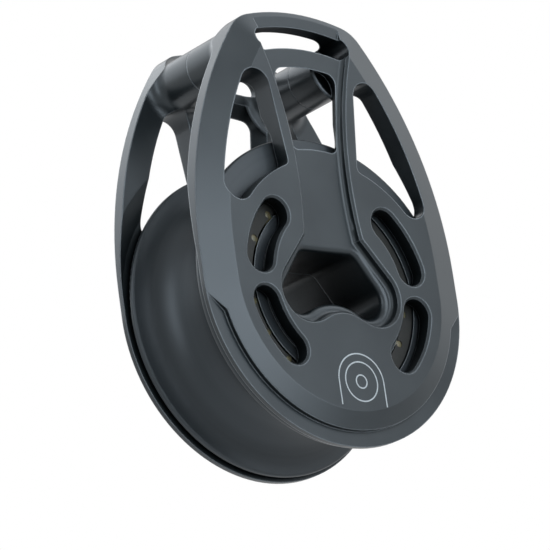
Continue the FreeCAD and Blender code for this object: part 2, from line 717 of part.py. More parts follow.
def mill_inside(body, label, side):
    """Turn the recess for the sheave, with its ramp."""
    sheave_space = new_sketch(body, f"{label}_sheave_space", "YZ_Plane")
    corners = [
        (side * FRAME_FACE, S.boss_radius),
        (side * CHEEK_FACE, S.boss_radius),
        (side * CHEEK_FACE, SPACE_RADIUS),
        (side * FRAME_FACE, SPACE_RADIUS + S.space_ramp),
    ]
    draw_polygon(sheave_space, corners)
    turn(body, sheave_space, "Groove")


def recess_edges(shape, side):
    """Name the edges at the foot and the rim of the recess's walls, and round the hub passage."""
    lean = math.tan(math.radians(S.recess_slope))
    foot = []
    walls = []
    passage = []

    def on_floor(point):
        return abs(side * point.y - (S.half_width - S.recess_depth) - point.z * lean) < EDGE_TOLERANCE

    def on_outer_face(point):
        return abs(side * point.y - S.half_width) < EDGE_TOLERANCE

    for name in edges_where(shape, on_floor):
        edge = shape.getElement(name)
        middle = edge.valueAt((edge.FirstParameter + edge.LastParameter) / 2)
        faces = shape.ancestorsOfType(edge, Part.Face)
        reaches = [side * corner.Y for face in faces for corner in face.Vertexes]
        if min(reaches) < EDGE_TOLERANCE:
            passage.append(name)
        elif max(reaches) > S.half_width - S.recess_depth / 2 and middle.z < BRIDGE_BOTTOM:
            foot.append(name)
            walls += faces
    rim = [
        name
        for name in edges_where(shape, on_outer_face)
        if any(shape.getElement(name).isSame(edge) for wall in walls for edge in wall.Edges)
    ]
    return SimpleNamespace(foot=foot, rim=rim, passage=passage)


def mill_outside(body, label, side):
    """Mill the cove, the sloping recess, the hub passage, the windows and the slots."""
    rear = side == Side.REAR
    outer_face = -side * S.half_width
    cove = new_sketch(body, f"{label}_cove", "XZ_Plane", outer_face)
    draw_cove(cove)
    pocket(body, cove, S.cove_depth, rear)

    recess = new_sketch(body, f"{label}_recess", "XZ_Plane")
    slope = FreeCAD.Rotation(FreeCAD.Vector(1, 0, 0), -side * S.recess_slope)
    recess.AttachmentOffset = FreeCAD.Placement(FreeCAD.Vector(), slope)
    bind(recess, "AttachmentOffset.Base.z", -side * (S.half_width - S.recess_depth))
    draw_recess(recess)
    pocket(body, recess, 2 * S.recess_depth, not rear)
    passage = new_sketch(body, f"{label}_passage", "XZ_Plane", outer_face)
    draw_passage(passage)
    pocket(body, passage, S.half_width, rear)
    rim = recess_edges(body.Shape, side).rim
    dress(body, "Chamfer", f"{label}_recess_rim", rim, S.recess_rim)
    foot = recess_edges(body.Shape, side).foot
    dress(body, "Fillet", f"{label}_recess_foot", foot, S.recess_foot)
    passage_mouth = recess_edges(body.Shape, side).passage
    dress(body, "Fillet", f"{label}_passage_round", passage_mouth, S.passage_round)

    past_foot = S.frame_thickness + S.post_foot
    windows = new_sketch(body, f"{label}_windows", "XZ_Plane", outer_face)
    draw_side_window(windows, 1)
    draw_side_window(windows, -1)
    pocket(body, windows, past_foot, rear)
    centre_window = new_sketch(body, f"{label}_centre_window", "XZ_Plane", outer_face)
    draw_centre_window(centre_window)
    opening = pocket(body, centre_window, S.frame_thickness, rear)
    straight_volume = body.Shape.Volume
    bind(opening, "TaperAngle", S.window_draft)
    doc.recompute()
    if body.Shape.Volume >= straight_volume:
        raise RuntimeError("the centre window narrows inwards")

    slots = new_sketch(body, f"{label}_slots", "XZ_Plane", outer_face)
    draw_kidney_slots(slots)
    pocket(body, slots, S.frame_thickness, rear)

    def round_the_slots(point):
        radius = math.hypot(point.x, point.z)
        on_face = abs(side * point.y - S.half_width) < EDGE_TOLERANCE
        return on_face and abs(radius - S.slot_pitch_radius) < S.slot_width / 2 + EDGE_TOLERANCE

    edges = edges_where(body.Shape, round_the_slots)
    dress(body, "Chamfer", f"{label}_slot_edges", edges, S.edge_break)

    head_slot = new_sketch(body, f"{label}_head_slot", "XZ_Plane", outer_face)
    draw_head_slot(head_slot, S.rear_slot_angle if rear else S.head_slot_angle)
    pocket(body, head_slot, past_foot, rear)
    crown_flat = new_sketch(body, f"{label}_crown_flat", "XZ_Plane", outer_face)
    draw_crown_flat(crown_flat)
    pocket(body, crown_flat, S.crown_flat_depth, rear)


def screw_places():
    """Return label, axis position and sink below the outer face of each screw."""
    places = []
    for hand, name in ((-1, "left"), (1, "right")):
        head = (hand * (S.post_side + S.head_screw_out), POST_HEIGHT + S.head_screw_rise)
        hub = (
            hand * (HUB_SCREW_PITCH * sine(S.hub_screw_angle)),
            -(HUB_SCREW_PITCH * cosine(S.hub_screw_angle)),
        )
        places.append((f"head_screw_{name}", head, S.head_screw_sink))
        places.append((f"hub_screw_{name}", hub, S.hub_screw_sink))
    return places


def drill(body, label, side):
    """Drill and countersink the rear cheek, or drill the blind tapped holes of the front one."""
    for name, axis, sink in screw_places():
        head_top = S.half_width - sink
        if side == Side.REAR:
            mouth = new_sketch(body, f"{label}_{name}_mouth", "XZ_Plane", -S.half_width)
            circle(mouth, axis, S.screw_head_radius + S.screw_clearance)
            pocket(body, mouth, sink + S.screw_head_rim, True)
            offset = -(head_top - S.screw_head_rim)
            hole = new_sketch(body, f"{label}_{name}_hole", "XZ_Plane", offset)
            circle(hole, axis, S.screw_radius + S.screw_clearance)
            doc.recompute()
            drilled = body.newObject("PartDesign::Hole", f"{label}_{name}_drilled")
            drilled.Profile = hole
            drilled.Reversed = True
            drilled.ThreadType = "None"
            drilled.DepthType = "ThroughAll"
            drilled.HoleCutType = "Countersink"
            drilled.HoleCutCustomValues = True
            drilled.HoleCutCountersinkAngle = 90
            bind(drilled, "Diameter", 2 * (S.screw_radius + S.screw_clearance))
            bind(drilled, "HoleCutDiameter", 2 * (S.screw_head_radius + S.screw_clearance))
            doc.recompute()
        else:
            hole = new_sketch(body, f"{label}_{name}_hole", "XZ_Plane")
            circle(hole, axis, S.screw_radius + S.thread_clearance)
            depth = S.screw_length - head_top + S.screw_tip_room
            pocket(body, hole, depth, True)


def make_cheek(label, side):
    """Mill one cheek with its half posts and half boss from a round blank.

    A sketch on the XZ plane faces the front, so what points outwards there points inwards here
    on the rear cheek.
    """
    body = new_body(label)
    make_blank(body, label, side)
    mill_outline(body, label, side)
    mill_inside(body, label, side)
    mill_outside(body, label, side)
    drill(body, label, side)
    return body


# Turned pieces


def make_turned(label, corners):
    """Turn a piece round the sheave axis from the corners of its half section."""
    body = new_body(label)
    section = new_sketch(body, f"{label}_section", "YZ_Plane")
    draw_polygon(section, corners)
    turn(body, section)
    return body


def make_sheave():
    """Turn the sheave: rope groove outside, roller bore and two ball shoulders inside."""
    body = new_body("sheave")
    section = new_sketch(body, "sheave_section", "YZ_Plane")
    groove_reach = GROOVE_MOUTH * GROOVE_MOUTH + GROOVE_DEPTH * GROOVE_DEPTH
    groove_radius = groove_reach / (2 * GROOVE_DEPTH)
    groove_centre = (0.0, GROOVE_ROOT + groove_radius)
    half = [
        (GROOVE_MOUTH, S.sheave_radius),
        (SHEAVE_FACE, S.sheave_radius),
        (SHEAVE_FACE, BALL_BORE),
        (BALL_BORE - OUTER_CONE, BALL_BORE),
        (SHEAVE_BORE - OUTER_CONE, SHEAVE_BORE),
    ]
    corners = half + [(-y, r) for y, r in reversed(half)]
    edges = [line(section, a, b) for a, b in zip(corners, corners[1:])]
    for first, second in zip(edges, edges[1:]):
        section.addConstraint(Sketcher.Constraint("Coincident", first, Spot.END, second, Spot.START))
    for edge, corner in zip(edges, corners):
        place(section, edge, Spot.START, corner)
    place(section, edges[-1], Spot.END, corners[-1])
    groove = arc(section, groove_centre, corners[-1], corners[0])
    meet(section, groove, edges[0])
    meet(section, groove, edges[-1])
    tie(section, "Radius", groove_radius, groove)
    turn(body, section)

    def on_rim(point):
        return abs(math.hypot(point.x, point.z) - S.sheave_radius) < EDGE_TOLERANCE

    dress(body, "Fillet", "sheave_flange_round", edges_where(body.Shape, on_rim), S.flange_round)
    return body


def make_inner_race():
    """Turn the sleeve that the rollers run on."""
    corners = [
        (-RACE_END, RACE_BORE),
        (RACE_END, RACE_BORE),
        (RACE_END, RACE_RADIUS),
        (-RACE_END, RACE_RADIUS),
    ]
    return make_turned("inner_race", corners)


def make_side_race(label, side):
    """Turn the ring whose cone carries the side balls against the cheek."""
    barrel = BALL_PITCH - S.side_race_barrel
    shoulder = BALL_PITCH - S.side_race_shoulder
    corners = [
        (RACE_END, RACE_BORE),
        (RACE_END, barrel),
        (barrel - INNER_CONE, barrel),
        (shoulder - INNER_CONE, shoulder),
        (SHEAVE_FACE, shoulder),
        (SHEAVE_FACE, RACE_RADIUS),
        (CHEEK_FACE, RACE_RADIUS),
        (CHEEK_FACE, RACE_BORE),
    ]
    return make_turned(label, [(side * y, r) for y, r in corners])


# Rolling pieces


def make_roller(number):
    """Place one roller of the main bearing."""
    roller = doc.addObject("Part::Cylinder", f"roller_{number:02d}")
    roller.Label = f"roller_{number:02d}"
    bind(roller, "Radius", S.roller_radius)
    bind(roller, "Height", 2 * ROLLER_END)
    lying = FreeCAD.Rotation(FreeCAD.Vector(1, 0, 0), 90)
    roller.Placement = FreeCAD.Placement(FreeCAD.Vector(), lying)
    angle = 360 * (number - 1) / S.roller_count
    bind(roller, "Placement.Base.x", ROLLER_PITCH * sine(angle))
    bind(roller, "Placement.Base.y", ROLLER_END)
    bind(roller, "Placement.Base.z", ROLLER_PITCH * cosine(angle))
    return roller


def make_balls(label, side):
    """Place a set of side balls."""
    balls = []
    for number in range(int(S.ball_count)):
        ball = doc.addObject("Part::Sphere", f"{label}_{number + 1:02d}")
        bind(ball, "Radius", S.ball_radius)
        angle = 360 * number / S.ball_count
        bind(ball, "Placement.Base.x", BALL_PITCH * sine(angle))
        bind(ball, "Placement.Base.y", side * BALL_DEPTH)
        bind(ball, "Placement.Base.z", BALL_PITCH * cosine(angle))
        balls.append(ball)
    group = doc.addObject("Part::Compound", label)
    group.Label = label
    group.Links = balls
    return group


def make_cage(label, side):
    """Turn a ball cage and cut its ball pockets, which open inwards."""
    inside = BALL_PITCH - S.cage_bore_reach
    outside = BALL_BORE - S.cage_gap
    inner_face = side * (BALL_DEPTH - S.cage_inner_reach)
    outer_face = side * (BALL_DEPTH + S.cage_outer_reach)
    corners = [
        (inner_face, inside),
        (outer_face, inside),
        (outer_face, outside),
        (inner_face, outside),
    ]
    body = make_turned(label, corners)
    ball_pocket = body.newObject("PartDesign::SubtractiveSphere", f"{label}_pocket")
    bind(ball_pocket, "Radius", S.ball_radius + S.cage_pocket_gap)
    bind(ball_pocket, "Placement.Base.y", side * BALL_DEPTH)
    bind(ball_pocket, "Placement.Base.z", BALL_PITCH)
    doc.recompute()
    pockets = body.newObject("PartDesign::PolarPattern", f"{label}_pockets")
    pockets.Originals = [ball_pocket]
    axis = next(item for item in body.Origin.OriginFeatures if item.Role == "Y_Axis")
    pockets.Axis = (axis, [""])
    pockets.Angle = 360
    bind(pockets, "Occurrences", S.ball_count)
    body.Tip = pockets
    doc.recompute()
    return body


# Screws


def make_screw(label, axis, sink):
    """Turn one countersunk screw on its own axis, with a key socket, and put it in its hole."""
    body = new_body(label)
    neck = S.screw_head_rim + S.screw_head_radius - S.screw_radius
    corners = [
        (0.0, 0.0),
        (0.0, S.screw_head_radius),
        (-S.screw_head_rim, S.screw_head_radius),
        (-neck, S.screw_radius),
        (-S.screw_length, S.screw_radius),
        (-S.screw_length, 0.0),
    ]
    section = new_sketch(body, f"{label}_section", "YZ_Plane")
    draw_polygon(section, corners)
    turn(body, section)
    socket = new_sketch(body, f"{label}_socket", "XZ_Plane")
    corner_radius = S.hex_across / math.sqrt(3)
    turns = [60 * number for number in range(6)]
    corners = [(corner_radius * cosine(turn), corner_radius * sine(turn)) for turn in turns]
    draw_polygon(socket, corners)
    pocket(body, socket, S.hex_depth, True)
    bind(body, "Placement.Base.x", axis[0])
    bind(body, "Placement.Base.y", S.half_width - sink)
    bind(body, "Placement.Base.z", axis[1])
    return body


def make_pieces():
    """Make every piece of the block."""
    pieces = [make_cheek("front_cheek", Side.FRONT), make_cheek("rear_cheek", Side.REAR)]
    pieces.append(make_sheave())
    pieces.append(make_inner_race())
    for name, side in (("front", Side.FRONT), ("rear", Side.REAR)):
        pieces.append(make_side_race(f"{name}_side_race", side))
        pieces.append(make_cage(f"{name}_ball_cage", side))
        pieces.append(make_balls(f"{name}_balls", side))
    for number in range(1, int(S.roller_count) + 1):
        pieces.append(make_roller(number))
    for label, axis, sink in screw_places():
        pieces.append(make_screw(label, axis, sink))
    doc.recompute()
    return pieces


def main():
    """Build every piece, check it and write its file."""
    make_sheet()
    pieces = make_pieces()
    for item in doc.Objects:
        if "Invalid" in item.State or "Error" in item.State:
            raise RuntimeError(f"{item.Label} failed: {item.State}")
    os.makedirs("parts", exist_ok=True)
    for piece in pieces:
        shape = piece.Shape
        if shape.isNull() or not shape.isValid():
            raise RuntimeError(f"{piece.Label} has no valid shape")
        shape.exportStep(f"parts/{piece.Label}.step")
        print(piece.Label, len(shape.Solids), round(shape.Volume, 1))


main()
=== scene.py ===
"""Loop block: finishes, size mark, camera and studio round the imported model.

Lengths are in metres in the model's own frame: +Z up to the head, +Y from the front cheek to the
rear one, and the origin on the sheave axis. Only the size mark is drawn in millimetres.
"""

import logging
import math
from dataclasses import dataclass
from enum import Enum
from typing import Any, Sequence

import bmesh
import bpy
from mathutils import Matrix, Vector


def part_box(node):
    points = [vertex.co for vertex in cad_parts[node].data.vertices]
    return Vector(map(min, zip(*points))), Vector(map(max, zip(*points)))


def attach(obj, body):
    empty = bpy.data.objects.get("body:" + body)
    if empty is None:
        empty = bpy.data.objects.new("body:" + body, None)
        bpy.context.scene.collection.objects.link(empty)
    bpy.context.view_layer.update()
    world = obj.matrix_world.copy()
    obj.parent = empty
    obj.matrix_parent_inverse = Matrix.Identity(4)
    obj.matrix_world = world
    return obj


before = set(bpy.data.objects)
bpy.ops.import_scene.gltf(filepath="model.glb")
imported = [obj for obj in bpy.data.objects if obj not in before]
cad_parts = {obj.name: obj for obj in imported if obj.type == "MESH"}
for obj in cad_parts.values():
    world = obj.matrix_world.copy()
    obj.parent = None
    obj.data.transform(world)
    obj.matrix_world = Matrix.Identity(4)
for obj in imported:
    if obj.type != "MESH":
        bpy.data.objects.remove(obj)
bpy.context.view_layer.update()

log = logging.getLogger("loop_block")

MM = 0.001

Colour = tuple[float, float, float]
Point = tuple[float, float, float]
PlanePoint = tuple[float, float]
Span = tuple[float, float]
Stroke = tuple[list[PlanePoint], bool]

# Spans of a noise's values that are stretched to a full range: the narrower, the more contrast.
FULL_RANGE: Span = (0.0, 1.0)
SOFT_CONTRAST: Span = (0.3, 0.7)
STRONG_CONTRAST: Span = (0.35, 0.65)

# Cosines between the flat and the rounded normal, where an edge starts and where it is full.
EDGE_COSINES: Span = (0.995, 0.86)
EDGE_SAMPLES = 6
OPENNESS_SAMPLES = 8


# Shader recipes


class Recipe:
    """The node tree of one material, put together step by step."""

    def __init__(self, name: str) -> None:
        """Start a material.

        Args:
            name: name of the material.
        """
        self.material = bpy.data.materials.new(name)
        self.material.use_nodes = True
        self.tree = self.material.node_tree
        self.shader = self.tree.nodes["Principled BSDF"]

    def node(self, kind: str, **settings: Any) -> bpy.types.Node:
        """Add a node.

        Args:
            kind: type of the node, without its ShaderNode prefix.
            settings: attributes to set on the node.

        Returns:
            The new node.
        """
        made = self.tree.nodes.new("ShaderNode" + kind)
        for key, value in settings.items():
            setattr(made, key, value)
        return made

    def feed(self, socket: bpy.types.NodeSocket, value: Any) -> None:
        """Link a socket into an input, or set a colour or a number on it.

        Args:
            socket: the input.
            value: a socket to link, a colour, or a number.
        """
        if isinstance(value, bpy.types.NodeSocket):
            self.tree.links.new(value, socket)
        elif isinstance(value, tuple):
            socket.default_value = (*value, 1.0)
        else:
            socket.default_value = value

    def calculate(self, operation: str, *values: Any) -> bpy.types.NodeSocket:
        """Do one sum with a Math node.

        Args:
            operation: name of the operation.
            values: its sockets or numbers.

        Returns:
            The result.
        """
        made = self.node("Math", operation=operation)
        for socket, value in zip(made.inputs, values):
            self.feed(socket, value)
        return made.outputs[0]

    def place(self) -> bpy.types.NodeSocket:
        """Return the position in the object, in metres."""
        return self.node("TexCoord").outputs["Object"]

    def round_the_axis(self) -> bpy.types.NodeSocket:
        """Read the position by its distance from the sheave axis, for turned surfaces.

        Returns:
            A position that is the same all round the axis.
        """
        parts = self.node("SeparateXYZ")
        self.feed(parts.inputs[0], self.place())
        squares = [
            self.calculate("MULTIPLY", parts.outputs[axis], parts.outputs[axis])
            for axis in ("X", "Z")
        ]
        radius = self.calculate("SQRT", self.calculate("ADD", *squares))
        joined = self.node("CombineXYZ")
        self.feed(joined.inputs["X"], radius)
        self.feed(joined.inputs["Y"], parts.outputs["Y"])
        return joined.outputs[0]

    def grain(
        self, position: bpy.types.NodeSocket, size: float, detail: float = 2.0
    ) -> bpy.types.NodeSocket:
        """Return a soft noise between 0 and 1.

        Args:
            position: where it is read.
            size: size of its spots, in metres.
            detail: octaves of finer noise.

        Returns:
            The noise.
        """
        made = self.node("TexNoise")
        self.feed(made.inputs["Vector"], position)
        made.inputs["Scale"].default_value = 1 / size
        made.inputs["Detail"].default_value = detail
        return made.outputs[0]

    def spread(
        self, value: bpy.types.NodeSocket, source: Span, target: Span = FULL_RANGE
    ) -> bpy.types.NodeSocket:
        """Map a span onto another, held to its ends.

        Args:
            value: what is mapped.
            source: its span.
            target: the span that it becomes.

        Returns:
            The mapped value.
        """
        made = self.node("MapRange")
        self.feed(made.inputs["Value"], value)
        ends = ("From Min", "From Max", "To Min", "To Max")
        for name, entry in zip(ends, (*source, *target)):
            made.inputs[name].default_value = entry
        return made.outputs[0]

    def blend(self, share: Any, first: Any, second: Any) -> bpy.types.NodeSocket:
        """Mix two colours.

        Args:
            share: share of the second one.
            first: colour or socket.
            second: colour or socket.

        Returns:
            The mixed colour.
        """
        made = self.node("Mix", data_type="RGBA")
        self.feed(made.inputs["Factor"], share)
        for name, entry in (("A", first), ("B", second)):
            socket = next(s for s in made.inputs if s.name == name and s.type == "RGBA")
            self.feed(socket, entry)
        return next(s for s in made.outputs if s.type == "RGBA")

    def two_tone(
        self, noise: bpy.types.NodeSocket, contrast: Span, first: Colour, second: Colour
    ) -> bpy.types.NodeSocket:
        """Mix two colours by a noise.

        Args:
            noise: the noise.
            contrast: span of its values over which one colour turns into the other.
            first: colour of its low values.
            second: colour of its high values.

        Returns:
            The mixed colour.
        """
        return self.blend(self.spread(noise, contrast), first, second)

    def relief(
        self, height: bpy.types.NodeSocket, depth: float, normal: Any = None
    ) -> bpy.types.NodeSocket:
        """Turn a height between 0 and 1 into a bumped normal.

        Args:
            height: the height.
            depth: how deep the relief is, in metres.
            normal: a normal to add it to, or None for the surface's own.

        Returns:
            The new normal.
        """
        made = self.node("Bump")
        made.inputs["Distance"].default_value = depth
        made.inputs["Strength"].default_value = 1.0
        self.feed(made.inputs["Height"], height)
        if normal is not None:
            self.feed(made.inputs["Normal"], normal)
        return made.outputs[0]

    def rounded_normal(self, radius: float) -> bpy.types.NodeSocket:
        """Round the normal over the sharp edges.

        Args:
            radius: width of the rounding, in metres.

        Returns:
            The rounded normal.
        """
        made = self.node("Bevel", samples=EDGE_SAMPLES)
        made.inputs["Radius"].default_value = radius
        return made.outputs[0]

    def edge_share(self, rounded: bpy.types.NodeSocket) -> bpy.types.NodeSocket:
        """Find the sharp edges, where the rounded normal leaves the flat one.

        Args:
            rounded: the rounded normal.

        Returns:
            The share of edge at each place.
        """
        compare = self.node("VectorMath", operation="DOT_PRODUCT")
        self.feed(compare.inputs[0], rounded)
        self.feed(compare.inputs[1], self.node("NewGeometry").outputs["Normal"])
        return self.spread(compare.outputs["Value"], EDGE_COSINES)

    def openness(self, distance: float) -> bpy.types.NodeSocket:
        """Find how open each place lies, from deep corners to free faces.

        Args:
            distance: how far neighbouring faces count, in metres.

        Returns:
            The share of open surroundings.
        """
        made = self.node("AmbientOcclusion", samples=OPENNESS_SAMPLES)
        made.inputs["Distance"].default_value = distance
        return made.outputs["AO"]

    def gloss(self, level: Any, tint: Colour = (1.0, 1.0, 1.0)) -> None:
        """Set how strongly the surface mirrors, and in which tint.

        Args:
            level: specular level.
            tint: colour of what it mirrors.
        """
        self.feed(self.shader.inputs["Specular IOR Level"], level)
        self.feed(self.shader.inputs["Specular Tint"], tint)

    def finish(self, colour: Any, roughness: Any, normal: Any) -> bpy.types.Material:
        """Set what every recipe ends with.

        Args:
            colour: base colour.
            roughness: roughness.
            normal: normal.

        Returns:
            The finished material.
        """
        self.feed(self.shader.inputs["Base Color"], colour)
        self.feed(self.shader.inputs["Roughness"], roughness)
        self.feed(self.shader.inputs["Normal"], normal)
        return self.material


@dataclass(frozen=True)
class HardAnodising:
    """Satin black oxide on milled aluminium, with a fine blasted grain, painted highlights on its
    edges and painted shade in its corners.
    """

    name: str = "hard_anodising"
    colour: Colour = (0.008, 0.011, 0.013)
    cloud_colour: Colour = (0.013, 0.017, 0.019)
    # Painted highlight: the pale colour laid along sharp edges.
    edge_highlight_colour: Colour = (0.30, 0.34, 0.37)
    # Painted shade: the colour that deep corners, slots and recesses are darkened to.
    painted_shade_colour: Colour = (0.0024, 0.0032, 0.0036)
    roughness: Span = (0.30, 0.36)
    # Specular level from closed corners, where it is lowered as painted shade, to open faces.
    specular_levels: Span = (0.01, 0.46)
    specular_tint: Colour = (0.84, 0.93, 1.00)
    cloud_size: float = 0.012
    grain_size: float = 0.00022
    grain_depth: float = 0.0000022
    noise_detail: float = 3.0
    edge_width: float = 0.00035
    # Strength range of the painted edge highlight, which is broken into patches by the cloud.
    edge_highlight_patches: Span = (0.35, 0.8)
    # How far the painted shade of the corners looks, and over which openness it fades out.
    painted_shade_reach: float = 0.016
    painted_shade_span: Span = (0.25, 0.75)

    def make(self) -> bpy.types.Material:
        """Put the finish together.

        Returns:
            The material.
        """
        recipe = Recipe(self.name)
        position = recipe.place()
        cloud = recipe.grain(position, self.cloud_size, self.noise_detail)
        fine = recipe.grain(position, self.grain_size, self.noise_detail)
        body = recipe.two_tone(cloud, STRONG_CONTRAST, self.colour, self.cloud_colour)
        # Painted shade: the colour darkens by how closed each place lies.
        openness = recipe.openness(self.painted_shade_reach)
        unshaded_share = recipe.spread(openness, self.painted_shade_span)
        body_with_painted_shade = recipe.blend(unshaded_share, self.painted_shade_colour, body)
        rounded = recipe.rounded_normal(self.edge_width)
        # Painted highlight on the sharp edges, broken into patches by the cloud.
        patches = recipe.spread(cloud, SOFT_CONTRAST, self.edge_highlight_patches)
        edge_highlight = recipe.calculate("MULTIPLY", recipe.edge_share(rounded), patches)
        colour = recipe.blend(edge_highlight, body_with_painted_shade, self.edge_highlight_colour)
        roughness = recipe.spread(cloud, SOFT_CONTRAST, self.roughness)
        # Painted shade again: reflections are dimmed in closed corners.
        level = recipe.spread(openness, self.painted_shade_span, self.specular_levels)
        recipe.gloss(level, self.specular_tint)
        return recipe.finish(colour, roughness, recipe.relief(fine, self.grain_depth, rounded))


@dataclass(frozen=True)
class TurnedAnodising:
    """Smooth black oxide on turned aluminium, with fine lines round the axis and a painted highlight
    along its sharp edges.
    """

    name: str = "turned_anodising"
    colour: Colour = (0.017, 0.021, 0.024)
    line_colour: Colour = (0.027, 0.032, 0.036)
    # Painted highlight: the pale colour laid along sharp edges.
    edge_highlight_colour: Colour = (0.30, 0.33, 0.35)
    roughness: Span = (0.34, 0.42)
    specular_level: float = 0.38
    specular_tint: Colour = (0.84, 0.93, 1.00)
    anisotropy: float = 0.35
    line_pitch: float = 0.00016
    line_depth: float = 0.0000012
    lines_per_band: int = 12
    edge_width: float = 0.0002

    def make(self) -> bpy.types.Material:
        """Put the finish together.

        Returns:
            The material.
        """
        recipe = Recipe(self.name)
        position = recipe.round_the_axis()
        lines = recipe.grain(position, self.line_pitch)
        band = recipe.grain(position, self.line_pitch * self.lines_per_band)
        body = recipe.two_tone(band, SOFT_CONTRAST, self.colour, self.line_colour)
        rounded = recipe.rounded_normal(self.edge_width)
        # Painted highlight along the sharp edges.
        colour = recipe.blend(recipe.edge_share(rounded), body, self.edge_highlight_colour)
        roughness = recipe.spread(lines, SOFT_CONTRAST, self.roughness)
        tangent = recipe.node("Tangent", direction_type="RADIAL", axis="Y")
        recipe.feed(recipe.shader.inputs["Tangent"], tangent.outputs[0])
        recipe.shader.inputs["Anisotropic"].default_value = self.anisotropy
        recipe.gloss(self.specular_level, self.specular_tint)
        return recipe.finish(colour, roughness, recipe.relief(lines, self.line_depth, rounded))


@dataclass(frozen=True)
class BearingResin:
    """Dark olive bearing resin, ground smooth, slightly clouded."""

    name: str = "bearing_resin"
    colour: Colour = (0.072, 0.066, 0.034)
    cloud_colour: Colour = (0.108, 0.096, 0.052)
    roughness: Span = (0.37, 0.47)
    specular_level: float = 0.40
    glow_through: float = 0.08
    glow_reach: float = 0.0006
    mottle_size: float = 0.0014
    mottle_detail: float = 4.0
    grain_size: float = 0.0001
    grain_depth: float = 0.0000015

    def make(self) -> bpy.types.Material:
        """Put the finish together.

        Returns:
            The material.
        """
        recipe = Recipe(self.name)
        position = recipe.place()
        mottle = recipe.grain(position, self.mottle_size, self.mottle_detail)
        fine = recipe.grain(position, self.grain_size)
        colour = recipe.two_tone(mottle, STRONG_CONTRAST, self.colour, self.cloud_colour)
        roughness = recipe.spread(mottle, SOFT_CONTRAST, self.roughness)
        recipe.gloss(self.specular_level)
        recipe.shader.inputs["Subsurface Weight"].default_value = self.glow_through
        recipe.shader.inputs["Subsurface Scale"].default_value = self.glow_reach
        return recipe.finish(colour, roughness, recipe.relief(fine, self.grain_depth))


@dataclass(frozen=True)
class MouldedAcetal:
    """Matt black moulded plastic with a fine mould grain."""

    name: str = "moulded_acetal"
    colour: Colour = (0.010, 0.011, 0.010)
    cloud_colour: Colour = (0.016, 0.017, 0.016)
    roughness: Span = (0.50, 0.61)
    specular_level: float = 0.24
    cloud_size: float = 0.004
    grain_size: float = 0.00018
    grain_depth: float = 0.000003

    def make(self) -> bpy.types.Material:
        """Put the finish together.

        Returns:
            The material.
        """
        recipe = Recipe(self.name)
        position = recipe.place()
        cloud = recipe.grain(position, self.cloud_size)
        fine = recipe.grain(position, self.grain_size)
        colour = recipe.two_tone(cloud, SOFT_CONTRAST, self.colour, self.cloud_colour)
        roughness = recipe.spread(fine, SOFT_CONTRAST, self.roughness)
        recipe.gloss(self.specular_level)
        return recipe.finish(colour, roughness, recipe.relief(fine, self.grain_depth))


@dataclass(frozen=True)
class Stainless:
    """Plain stainless steel of small screws, faintly clouded."""

    name: str = "stainless"
    colour: Colour = (0.52, 0.51, 0.49)
    cloud_colour: Colour = (0.60, 0.59, 0.57)
    roughness: Span = (0.21, 0.35)
    cloud_size: float = 0.0016
    cloud_detail: float = 3.0
    grain_size: float = 0.0002
    grain_depth: float = 0.000001
    edge_width: float = 0.00012

    def make(self) -> bpy.types.Material:
        """Put the finish together.

        Returns:
            The material.
        """
        recipe = Recipe(self.name)
        position = recipe.place()
        cloud = recipe.grain(position, self.cloud_size, self.cloud_detail)
        fine = recipe.grain(position, self.grain_size)
        colour = recipe.two_tone(cloud, SOFT_CONTRAST, self.colour, self.cloud_colour)
        roughness = recipe.spread(cloud, SOFT_CONTRAST, self.roughness)
        recipe.shader.inputs["Metallic"].default_value = 1.0
        rounded = recipe.rounded_normal(self.edge_width)
        return recipe.finish(colour, roughness, recipe.relief(fine, self.grain_depth, rounded))


@dataclass(frozen=True)
class LaserMark:
    """Pale, dry line that a laser leaves in the oxide."""

    name: str = "laser_mark"
    colour: Colour = (0.30, 0.34, 0.36)
    cloud_colour: Colour = (0.44, 0.48, 0.50)
    roughness: float = 0.62
    grain_size: float = 0.00015
    grain_detail: float = 3.0
    grain_depth: float = 0.000004

    def make(self) -> bpy.types.Material:
        """Put the finish together.

        Returns:
            The material.
        """
        recipe = Recipe(self.name)
        fine = recipe.grain(recipe.place(), self.grain_size, self.grain_detail)
        colour = recipe.two_tone(fine, STRONG_CONTRAST, self.colour, self.cloud_colour)
        return recipe.finish(colour, self.roughness, recipe.relief(fine, self.grain_depth))


class Finish(Enum):
    """The finishes of the block's pieces."""

    CHEEK = HardAnodising()
    SHEAVE = TurnedAnodising()
    RACE = TurnedAnodising(name="turned_race", roughness=(0.22, 0.30), line_pitch=0.0001)
    RESIN = BearingResin()
    ACETAL = MouldedAcetal()
    STAINLESS = Stainless()
    MARK = LaserMark()


class Wardrobe:
    """Keeps one material for each finish."""

    def __init__(self) -> None:
        """Start with no material made."""
        self.made: dict[Finish, bpy.types.Material] = {}

    def get(self, finish: Finish) -> bpy.types.Material:
        """Return the material of a finish, made on first use.

        Args:
            finish: the finish.

        Returns:
            The material.
        """
        if finish not in self.made:
            self.made[finish] = finish.value.make()
        return self.made[finish]

    def dress(self, node: str, finish: Finish) -> None:
        """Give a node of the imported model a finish.

        Args:
            node: name of the node.
            finish: the finish.
        """
        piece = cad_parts[node]
        for slot in piece.material_slots:
            slot.material = self.get(finish)
        log.info("dressed %s in %s", node, finish.name)


# Sub-assemblies


@dataclass(frozen=True)
class Cheeks:
    """The two milled cheeks."""

    nodes: tuple[str, ...] = ("front_cheek", "rear_cheek")

    def dress(self, wardrobe: Wardrobe) -> None:
        """Finish both cheeks.

        Args:
            wardrobe: the materials.
        """
        for node in self.nodes:
            wardrobe.dress(node, Finish.CHEEK)


